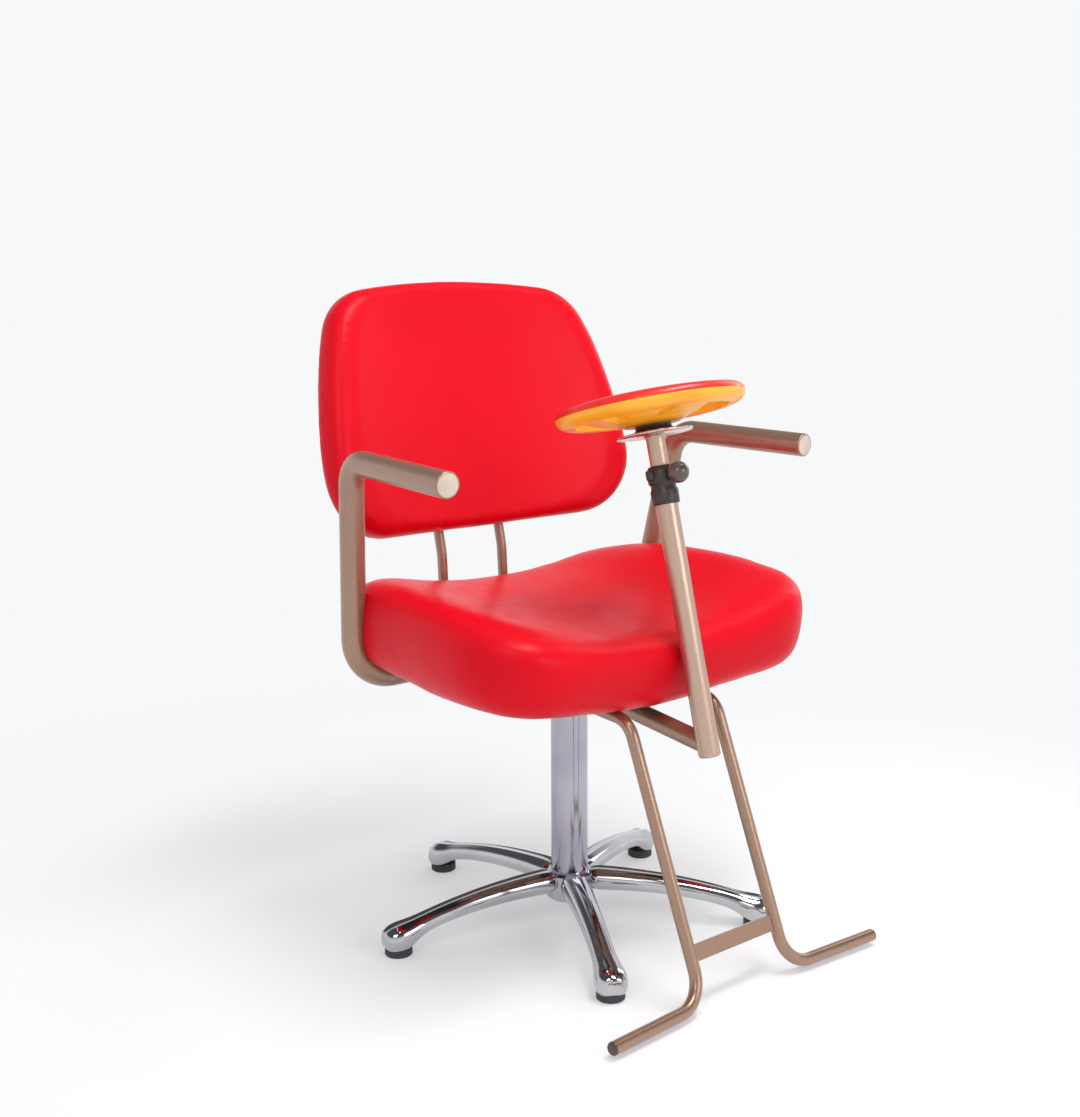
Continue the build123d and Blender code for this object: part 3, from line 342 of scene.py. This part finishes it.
slot_finish = {
    "bronze_paint": bronze_paint,
    "champagne_chrome": champagne_plate,
    "chrome": chrome_plate,
    "flange_metal": flange_metal,
    "red_leatherette": red_leatherette,
    "plywood": bare_plywood,
    "back_shell": black_shell,
    "black_rubber": black_rubber,
    "black_plastic": dark_plastic,
    "dark_metal": dark_paint,
    "pale_plastic": cream_plastic,
    "steel": steel_finish,
    "yellow_plastic": yellow_plastic,
    "red_plastic": red_plastic,
}
node_finish = {
    "column_tube": shaded_column_chrome,
    "footrest_tube_left": footrest_bronze,
    "footrest_tube_right": footrest_bronze,
    "footrest_rung": footrest_bronze,
    "clamp_knob": dark_ball,
}
for entry in frame["record"]["subparts"]:
    for material_slot in parts[entry["node"]].material_slots:
        material_slot.material = node_finish.get(entry["node"], slot_finish[entry["material_slot"]])


# ---- Star base: one polished casting, with a raised ridge on each leg and spoon-shaped toes ----

def cast_leg():
    """Half of the section is mirrored, then drawn out from the hub to the toe."""
    half_section = (
        # across and up, as shares of the leg's width and depth, from the ridge's middle to the bottom
        (0.000, 0.455), (0.105, 0.462), (0.175, 0.500), (0.235, 0.452), (0.330, 0.400),
        (0.445, 0.260), (0.500, 0.020), (0.480, -0.300), (0.400, -0.470), (0.200, -0.500),
    )
    ridge_point = 2
    stations = (
        # distance from the column, height of the top, width, depth
        (0.060, 0.0722, 0.0395, 0.0270),
        (0.115, 0.0682, 0.0352, 0.0245),
        (0.165, 0.0608, 0.0322, 0.0225),
        (0.205, 0.0524, 0.0312, 0.0215),
        (0.226, 0.0470, 0.0326, 0.0238),
        (0.239, 0.0440, 0.0378, 0.0310),
        (0.250, 0.0424, 0.0424, 0.0346),
        (0.262, 0.0404, 0.0430, 0.0330),
        (0.2712, 0.0366, 0.0350, 0.0282),
        (0.2768, 0.0312, 0.0200, 0.0180),
    )
    distance, top, width, depth = 0.020, 0.0735, 0.0450, 0.0300
    outline = half_section + tuple((-y, z) for y, z in reversed(half_section[1:]))
    count = len(outline)
    deselect_all()
    bpy.ops.mesh.primitive_circle_add(
        vertices=count, radius=0.02, fill_type="NGON", location=(distance, 0, 0),
        rotation=(math.pi / 2, 0, math.pi / 2))
    leg = bpy.context.object
    leg.name = "cast_leg"
    settle(leg)
    for vertex, (y, z) in zip(leg.data.vertices, outline):
        vertex.co = (distance, y * width, top - depth / 2 + z * depth)
    edit_mode("FACE", "SELECT")
    for next_distance, next_top, next_width, next_depth in stations:
        rise = (next_top - next_depth / 2) - (top - depth / 2)
        bpy.ops.mesh.extrude_region_move(
            TRANSFORM_OT_translate={"value": (next_distance - distance, 0, rise)})
        bpy.ops.transform.resize(
            value=(1, next_width / width, next_depth / depth),
            center_override=(next_distance, 0, next_top - next_depth / 2))
        distance, top, width, depth = next_distance, next_top, next_width, next_depth
    face_outwards()
    edit_mode("EDGE", "DESELECT")
    object_mode()
    for edge in leg.data.edges:
        a, b = (number % count for number in edge.vertices)
        edge.select = a == b and a in (ridge_point, count - ridge_point)
    bpy.ops.object.mode_set(mode="EDIT")
    bpy.ops.transform.edge_crease(value=0.75)
    object_mode()
    return leg


def cast_hub():
    """A low cylinder with a raised rim round the column and a hollow underside."""
    deselect_all()
    bpy.ops.mesh.primitive_cylinder_add(vertices=64, radius=0.033, depth=0.032, location=(0, 0, 0.050))
    hub = bpy.context.object
    hub.name = "cast_hub"
    settle(hub)
    pick_faces(hub, lambda middle, normal: normal.z > 0.9)
    bpy.ops.mesh.inset(thickness=0.004, depth=0.0)
    bpy.ops.transform.translate(value=(0, 0, 0.0035))
    pick_faces(hub, lambda middle, normal: normal.z < -0.9)
    bpy.ops.mesh.inset(thickness=0.003, depth=0.0)
    bpy.ops.transform.translate(value=(0, 0, -0.003))
    bpy.ops.mesh.inset(thickness=0.011, depth=0.0)
    bpy.ops.transform.translate(value=(0, 0, 0.006))
    object_mode()
    return hub


def star_casting():
    leg = cast_leg()
    work_on(leg)
    apply_modifier(leg, "SUBSURF", levels=2, render_levels=2)
    legs = set_round(leg, count=5, first_angle=23.4)
    casting = cast_hub()
    join_onto(casting, legs)
    casting.name = "star_casting"
    face_outwards()
    smooth_by_angle(35)
    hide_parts("star_base")
    put_on(casting, "base", "chrome", chrome_plate)


star_casting()


# ---- Steering mast: all its pieces are turned on the mast's leaning axis ----

mast_lean = 14.4
mast_foot_y, mast_foot_z = -0.2544, 0.302
mast_way_y, mast_way_z = 0.24869, 0.96858


def lean_with_mast(piece, station):
    """Local Z becomes the mast's axis, and the piece sits this far up from the mast's foot."""
    piece.rotation_euler = (math.radians(-mast_lean), 0, 0)
    piece.location = (0, mast_foot_y + mast_way_y * station, mast_foot_z + mast_way_z * station)
    settle(piece)


def drawn_up(name, rings, vertices=64):
    """A disc on the Z axis, drawn up through rings of height and radius."""
    height, radius = rings[0]
    deselect_all()
    bpy.ops.mesh.primitive_circle_add(
        vertices=vertices, radius=radius, fill_type="NGON", location=(0, 0, height))
    piece = bpy.context.object
    piece.name = name
    settle(piece)
    edit_mode("FACE", "SELECT")
    for next_height, next_radius in rings[1:]:
        bpy.ops.mesh.extrude_region_move(
            TRANSFORM_OT_translate={"value": (0, 0, next_height - height)})
        bpy.ops.transform.resize(
            value=(next_radius / radius, next_radius / radius, 1), center_override=(0, 0, next_height))
        height, radius = next_height, next_radius
    face_outwards()
    return piece


def clamp_sleeve():
    """A waisted sleeve under a band, with one lug on the band."""
    sleeve = drawn_up(
        "clamp_sleeve",
        (
            (0.0000, 0.0158), (0.0012, 0.0170), (0.0165, 0.0174), (0.0205, 0.0156),
            (0.0245, 0.0156), (0.0270, 0.0180), (0.0405, 0.0180), (0.0445, 0.0168),
            (0.0480, 0.0142),
        ), vertices=48)
    deselect_all()
    bpy.ops.mesh.primitive_cube_add(size=1, location=(-0.0195, 0, 0.0372))
    lug = bpy.context.object
    lug.scale = (0.009, 0.010, 0.013)
    settle(lug)
    edit_mode("EDGE", "SELECT")
    bpy.ops.mesh.bevel(offset=0.0030, segments=3, affect="EDGES")
    object_mode()
    join_onto(sleeve, [lug])
    face_outwards()
    apply_modifier(sleeve, "BEVEL", width=0.0008, segments=2)
    smooth_by_angle(32)
    lean_with_mast(sleeve, 0.299)
    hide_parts("clamp_collar")
    put_on(sleeve, "seat", "dark_metal", dark_paint)


clamp_sleeve()

for name, station, angle, rings, node_name, body, slot, finish in (
    # name, distance up from the mast's foot, smoothing angle, rings, node, body, slot, finish
    (
        "mast_outer", -0.0150, 40,
        (
            (0, 0.0104), (0.0007, 0.0120), (0.0020, 0.0132), (0.0040, 0.0139), (0.0056, 0.0140),
            (0.3250, 0.0140),
        ), "mast_tube", "seat", "champagne_chrome", champagne_plate),
    (
        "slide_tube_polished", 0.1505, 40,
        ((0, 0.0118), (0.2290, 0.0118), (0.2318, 0.0123), (0.2336, 0.0134), (0.2345, 0.0148)),
        "slide_tube", "mast_slide", "champagne_chrome", champagne_plate),
    (
        "flange_plate", 0.3850, 50,
        ((0, 0.0466), (0.0004, 0.0475), (0.0013, 0.0480), (0.0024, 0.0480), (0.0032, 0.0472)),
        "wheel_flange", "mast_slide", "flange_metal", flange_metal),
    (
        "wheel_hub_boss", 0.3882, 35,
        (
            (0, 0.0262), (0.0010, 0.0274), (0.0024, 0.0266), (0.0042, 0.0232),
            (0.0070, 0.0222), (0.0094, 0.0230),
        ), "wheel_washer", "mast_slide", "black_plastic", dark_plastic),
):
    piece = drawn_up(name, rings)
    smooth_by_angle(angle)
    lean_with_mast(piece, station)
    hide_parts(node_name)
    put_on(piece, body, slot, finish)


# ---- Toy steering wheel: two moulded shells, the upper one red, with three spokes each ----

wheel_station = 0.40655


def spun_ring(name, profile):
    """A closed outline of radii and heights, spun round the wheel's axis."""
    deselect_all()
    bpy.ops.mesh.primitive_circle_add(
        vertices=len(profile), radius=0.01, fill_type="NOTHING", rotation=(math.pi / 2, 0, 0))
    ring = bpy.context.object
    ring.name = name
    settle(ring)
    for vertex, (radius, height) in zip(ring.data.vertices, profile):
        vertex.co = (radius, 0, height)
    edit_mode("VERT", "SELECT")
    bpy.ops.mesh.spin(steps=96, angle=2 * math.pi, center=(0, 0, 0), axis=(0, 0, 1))
    bpy.ops.mesh.select_all(action="SELECT")
    bpy.ops.mesh.remove_doubles(threshold=merge_distance)
    face_outwards()
    return ring


def spoke(name, low, high, drop, root_width, neck_width, rim_width):
    """One flat spoke with a waist, its underside dropping to the hub, its long edges rounded."""
    deselect_all()
    bpy.ops.mesh.primitive_cube_add(size=1, location=(0.066, 0, (low + high) / 2))
    arm = bpy.context.object
    arm.name = name
    arm.scale = (0.072, root_width, high - low)
    settle(arm)
    edit_mode("VERT", "SELECT")
    bpy.ops.mesh.subdivide(number_cuts=5)
    object_mode()
    for vertex in arm.data.vertices:
        waist = smooth_step(0.030, 0.062, vertex.co.x)
        flare = smooth_step(0.070, 0.102, vertex.co.x)
        width = root_width + (neck_width - root_width) * waist + (rim_width - neck_width) * flare
        vertex.co.y *= width / root_width
        if vertex.co.z < (low + high) / 2:
            vertex.co.z -= drop * (1 - smooth_step(0.046, 0.094, vertex.co.x))
    edit_mode("EDGE", "DESELECT")
    bpy.ops.mesh.edges_select_sharp(sharpness=math.radians(50))
    bpy.ops.mesh.bevel(offset=0.0018, segments=3, affect="EDGES")
    object_mode()
    return arm


def wheel_shell(name, profile, spoke_sizes, hub_rings, node_name, slot, finish):
    """A rim, three spokes and a hub joined into one moulded shell."""
    shell = spun_ring(name, profile)
    spokes = set_round(spoke(name + "_spoke", **spoke_sizes), count=3, first_angle=-90)
    hub = drawn_up(name + "_hub", hub_rings)
    smooth_by_angle(40)
    join_onto(shell, spokes + [hub])
    smooth_by_angle(40)
    lean_with_mast(shell, wheel_station)
    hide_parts(node_name)
    put_on(shell, "wheel", slot, finish)


wheel_shell(
    "wheel_lower_shell",
    profile=(
        (0.1183, 0.0148), (0.1178, 0.0112), (0.1156, 0.0072), (0.1118, 0.0040), (0.1072, 0.0018),
        (0.1024, 0.0006), (0.0984, 0.0004), (0.0958, 0.0020), (0.0952, 0.0060), (0.0952, 0.0148),
    ),
    spoke_sizes={
        "low": 0.0085, "high": 0.0148, "drop": 0.0115,
        "root_width": 0.062, "neck_width": 0.052, "rim_width": 0.068,
    },
    hub_rings=(
        (-0.0090, 0.0320), (-0.0086, 0.0345), (-0.0070, 0.0395), (-0.0040, 0.0460),
        (0.0000, 0.0525), (0.0050, 0.0580), (0.0100, 0.0605), (0.0146, 0.0605), (0.0148, 0.0600),
    ),
    node_name="wheel_body", slot="yellow_plastic", finish=yellow_plastic)
wheel_shell(
    "wheel_upper_shell",
    profile=(
        (0.1183, 0.0151), (0.1176, 0.0182), (0.1152, 0.0216), (0.1112, 0.0240), (0.1066, 0.0250),
        (0.1020, 0.0246), (0.0978, 0.0226), (0.0956, 0.0192), (0.0952, 0.0151),
    ),
    spoke_sizes={
        "low": 0.0151, "high": 0.0190, "drop": 0.0,
        "root_width": 0.036, "neck_width": 0.027, "rim_width": 0.038,
    },
    hub_rings=(
        (0.0151, 0.0400), (0.0154, 0.0410), (0.0178, 0.0410), (0.0186, 0.0405), (0.0190, 0.0395),
    ),
    node_name="wheel_cover", slot="red_plastic", finish=red_plastic)


# ---- Plugs: pale discs set inside the arms' rims, dark plugs in the footrest's ends ----

def fresh_copy(node_name, piece_name):
    """A CAD solid's shape in a mesh of its own, its seams closed. It is left in edit mode."""
    piece = bpy.data.objects.new(piece_name, parts[node_name].data.copy())
    piece.matrix_world = parts[node_name].matrix_world.copy()
    scene.collection.objects.link(piece)
    settle(piece)
    edit_mode("VERT", "SELECT")
    bpy.ops.mesh.remove_doubles(threshold=merge_distance)
    return piece


def plug(node_name, piece_name):
    piece = fresh_copy(node_name, piece_name)
    bpy.ops.mesh.dissolve_limited(angle_limit=math.radians(1))
    face_outwards()
    return piece


for side, sign in (("left", 1), ("right", -1)):
    arm_disc = plug("arm_cap_" + side, "arm_disc_" + side)
    put_on(arm_disc, "seat", "pale_plastic", bronze_paint, cream_plastic)
    outward = Vector((0.0994 * sign, -0.9946, -0.0316))
    work_on(arm_disc)
    pick_faces(arm_disc, lambda middle, normal: normal.dot(outward) > 0.97)
    bpy.ops.mesh.inset(thickness=0.0004, depth=0.0)
    bpy.ops.transform.translate(value=outward * -0.0012)
    arm_disc.active_material_index = 1
    bpy.ops.object.material_slot_assign()
    bpy.ops.mesh.inset(thickness=0.0012, depth=0.0)
    bpy.ops.transform.translate(value=outward * 0.0008)
    object_mode()
    smooth_by_angle(30)
    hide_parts("arm_cap_" + side)

    peg_plug = plug("peg_cap_" + side, "peg_plug_" + side)
    work_on(peg_plug)
    smooth_by_angle(40)
    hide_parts("peg_cap_" + side)
    put_on(peg_plug, "seat", "black_plastic", dark_plastic)


# ---- Upholstery: both pads are blown up like a stuffed cover over their foam ----

cover_frames = 20
evening_rounds = 120


def foam_copy(node_name, piece_name, voxel):
    """The foam as one even mesh that a cover can be simulated on."""
    piece = fresh_copy(node_name, piece_name)
    face_outwards()
    apply_modifier(piece, "REMESH", mode="VOXEL", voxel_size=voxel)
    return piece


def blow_up(piece, cap):
    """The cover swells under pressure. The swelling is evened out over the taut cover, and capped."""
    work_on(piece)
    start = np.array([tuple(v.co) for v in piece.data.vertices])
    outward = np.array([tuple(v.normal) for v in piece.data.vertices])
    edges = np.array([tuple(e.vertices) for e in piece.data.edges])
    cloth = piece.modifiers.new("cover", "CLOTH")
    cloth.settings.use_pressure = True
    cloth.settings.uniform_pressure_force = 4.0
    cloth.settings.effector_weights.gravity = 0
    cloth.settings.quality = 5
    cloth.settings.tension_stiffness = 12
    cloth.settings.compression_stiffness = 4
    cloth.settings.shear_stiffness = 4
    cloth.settings.bending_stiffness = 12
    cloth.point_cache.frame_start = 1
    cloth.point_cache.frame_end = cover_frames
    for number in range(1, cover_frames + 1):
        scene.frame_set(number)
    bpy.ops.object.modifier_apply(modifier=cloth.name)
    scene.frame_set(1)
    end = np.array([tuple(v.co) for v in piece.data.vertices])
    swell = ((end - start) * outward).sum(axis=1)
    neighbours = np.bincount(edges.ravel(), minlength=len(swell))
    for _ in range(evening_rounds):
        total = np.bincount(edges[:, 0], weights=swell[edges[:, 1]], minlength=len(swell))
        total += np.bincount(edges[:, 1], weights=swell[edges[:, 0]], minlength=len(swell))
        swell = 0.4 * swell + 0.6 * total / neighbours
    swell = np.clip(swell, -cap, cap)
    for vertex, place, way, amount in zip(piece.data.vertices, start, outward, swell):
        vertex.co = Vector(place) + Vector(way) * amount


def round_off(piece, repeat):
    """The cover is evened out all over, then made finer."""
    work_on(piece)
    edit_mode("VERT", "SELECT")
    bpy.ops.mesh.vertices_smooth(factor=0.5, repeat=repeat)
    object_mode()
    apply_modifier(piece, "SUBSURF", levels=1, render_levels=1)
    bpy.ops.object.shade_smooth()


def fit_box(piece, node_name, grow):
    """The finished pad fills the box of its CAD solid, and stands proud of it by this much."""
    low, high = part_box(node_name)
    points = [v.co for v in piece.data.vertices]
    for axis in range(3):
        start = min(p[axis] for p in points)
        length = max(p[axis] for p in points) - start
        for p in points:
            p[axis] = low[axis] - grow[axis] + (p[axis] - start) * (
                (high[axis] - low[axis] + 2 * grow[axis]) / length)


def upper_share(point, below, above):
    """0 under the seat pad's middle height and 1 over it. The middle rises to the rear."""
    middle_height = 0.402 + 0.0805 * point.y
    return smooth_step(middle_height - below, middle_height + above, point.z)


seat_pad = foam_copy("seat_cushion", "seat_pad", voxel=0.0055)
blow_up(seat_pad, cap=0.010)
round_off(seat_pad, repeat=68)
for vertex in seat_pad.data.vertices:
    # the sides stand up above and hang down below, the rear is wider, and the pad rolls a little
    point = vertex.co
    to_side = smooth_step(0.08, 0.24, abs(point.x))
    upper = upper_share(point, 0.025, 0.025)
    point.z += to_side * (0.007 * upper - 0.008 * (1 - upper))
    point.x *= 1 + 0.045 * smooth_step(0.0, 0.17, point.y)
    point.z += 0.012 * point.x
fit_box(seat_pad, "seat_cushion", grow=(0.010, 0.006, 0.005))
for vertex in seat_pad.data.vertices:
    # the underside lifts at the sitter's right front corner, and the rear edge rolls the other way
    point = vertex.co
    to_corner = smooth_step(0.06, 0.21, -point.x) * smooth_step(0.0, 0.14, -point.y)
    point.z += 0.009 * to_corner * (1 - upper_share(point, 0.04, 0.02))
    to_rear = smooth_step(0.02, 0.15, point.y)
    beside_middle = (
        smooth_step(0.12, 0.24, point.x) * smooth_step(-0.14, -0.02, point.y) * (1 - to_rear))
    rise = 0.004 * beside_middle - 0.024 * point.x * to_rear
    point.z += upper_share(point, 0.025, 0.025) * rise
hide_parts("seat_cushion")
put_on(seat_pad, "seat", "red_leatherette", red_leatherette, dust_cloth)
seat_low, seat_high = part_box("seat_cushion")
seat_middle = (seat_low + seat_high) / 2
for face in seat_pad.data.polygons:
    # a dust cloth closes the underside, inside a rounded outline
    across = abs(face.center.x - seat_middle.x) / (0.80 * (seat_high.x - seat_middle.x))
    along = abs(face.center.y - seat_middle.y) / (0.78 * (seat_high.y - seat_middle.y))
    if face.normal.z < -0.6 and across ** 4 + along ** 4 < 1:
        face.material_index = 1

back_pad = foam_copy("backrest_cushion", "back_pad", voxel=0.0045)
blow_up(back_pad, cap=0.006)
round_off(back_pad, repeat=6)
back_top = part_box("backrest_cushion")[1].z
for vertex in back_pad.data.vertices:
    # the top edge is arched
    near_top = smooth_step(back_top - 0.09, back_top, vertex.co.z)
    vertex.co.z += near_top * (0.006 - 0.30 * vertex.co.x ** 2)
fit_box(back_pad, "backrest_cushion", grow=(0.003, 0.001, 0.003))
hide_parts("backrest_cushion")
put_on(back_pad, "seat", "red_leatherette", red_leatherette)


# ---- Studio: pale floor and surround, soft lamps ----

pale_wall = (0.93, 0.94, 0.955, 1)


def rays_that_see(holder):
    """1 for the rays that show the background: to the camera, off metal or through glass."""
    rays = add(holder, "ShaderNodeLightPath")
    seen = rays.outputs["Is Camera Ray"]
    for kind in ("Is Glossy Ray", "Is Transmission Ray"):
        either = add(holder, "ShaderNodeMath", operation="MAXIMUM")
        join(holder, seen, either.inputs[0])
        join(holder, rays.outputs[kind], either.inputs[1])
        seen = either.outputs[0]
    return seen


def blend_in(holder, share, first, second, output):
    """The output shows the first shader, and this share of the second."""
    blend = add(holder, "ShaderNodeMixShader")
    join(holder, share, blend.inputs["Fac"])
    join(holder, first.outputs[0], blend.inputs[1])
    join(holder, second.outputs[0], blend.inputs[2])
    join(holder, blend.outputs[0], holder.node_tree.nodes[output].inputs["Surface"])


def studio_floor():
    """A pale painted floor that takes the chair's shadow and fades into the surround."""
    deselect_all()
    bpy.ops.mesh.primitive_plane_add(size=14, location=(0, 0, 0))
    floor = bpy.context.object
    floor.name = "studio_floor"
    finish, shader, place = new_finish("floor_paint")
    shader.inputs["Base Color"].default_value = (0.83, 0.835, 0.845, 1)
    shader.inputs["Roughness"].default_value = 0.8
    shader.inputs["Specular IOR Level"].default_value = 0.1
    speckle = noise(finish, place, scale=40.0, detail=3.0)
    bump(finish, shader, speckle, strength=0.02, distance=0.001)
    away = add(finish, "ShaderNodeVectorMath", operation="LENGTH")
    join(finish, place, away.inputs[0])
    fade = add(finish, "ShaderNodeMapRange", interpolation_type="SMOOTHSTEP")
    for name, value in (("From Min", 0.35), ("From Max", 1.5), ("To Min", 0.3), ("To Max", 1.0)):
        fade.inputs[name].default_value = value
    join(finish, away.outputs["Value"], fade.inputs["Value"])
    share = add(finish, "ShaderNodeMath", operation="MULTIPLY")
    join(finish, fade.outputs["Result"], share.inputs[0])
    join(finish, rays_that_see(finish), share.inputs[1])
    pale = add(finish, "ShaderNodeEmission", Color=pale_wall, Strength=1.0)
    blend_in(finish, share.outputs[0], shader, pale, "Material Output")
    floor.data.materials.append(finish)


def pale_surround():
    """Even light for the chair. The rays that show the surround see pale walls under a dark ceiling."""
    surround = bpy.data.worlds.new("pale_surround")
    scene.world = surround
    surround.use_nodes = True
    light = surround.node_tree.nodes["Background"]
    light.inputs["Color"].default_value = (0.94, 0.945, 0.955, 1)
    light.inputs["Strength"].default_value = 0.78
    heading = add(surround, "ShaderNodeTexCoord")
    split = add(surround, "ShaderNodeSeparateXYZ")
    join(surround, heading.outputs["Generated"], split.inputs[0])
    dark_ceiling = (0.10, 0.105, 0.115, 1)
    wall_colour = two_shades(surround, split.outputs["Z"], (pale_wall, dark_ceiling), (0.30, 0.52))
    walls = add(surround, "ShaderNodeBackground")
    join(surround, wall_colour, walls.inputs["Color"])
    blend_in(surround, rays_that_see(surround), light, walls, "World Output")


studio_floor()
pale_surround()

for name, place, target, size, power in (
    # name, place, the point that it shines on, width and height, power in watts
    ("key_lamp", (-2.2, -1.6, 2.6), (0, 0, 0.5), (1.5, 1.5), 20),
    ("overhead_lamp", (0.25, -0.75, 2.7), (0, -0.1, 0.4), (1.5, 0.45), 38),
    ("front_lamp", (0.6, -3.0, 1.6), (0, 0, 0.5), (1.2, 1.2), 18),
    ("right_lamp", (2.6, 0.2, 1.8), (0, 0, 0.5), (0.8, 1.8), 10),
):
    deselect_all()
    bpy.ops.object.light_add(type="AREA", location=place)
    lamp = bpy.context.object
    lamp.name = name
    lamp.data.shape = "RECTANGLE"
    lamp.data.size, lamp.data.size_y = size
    lamp.data.energy = power
    lamp.rotation_euler = (Vector(target) - Vector(place)).to_track_quat("-Z", "Y").to_euler()
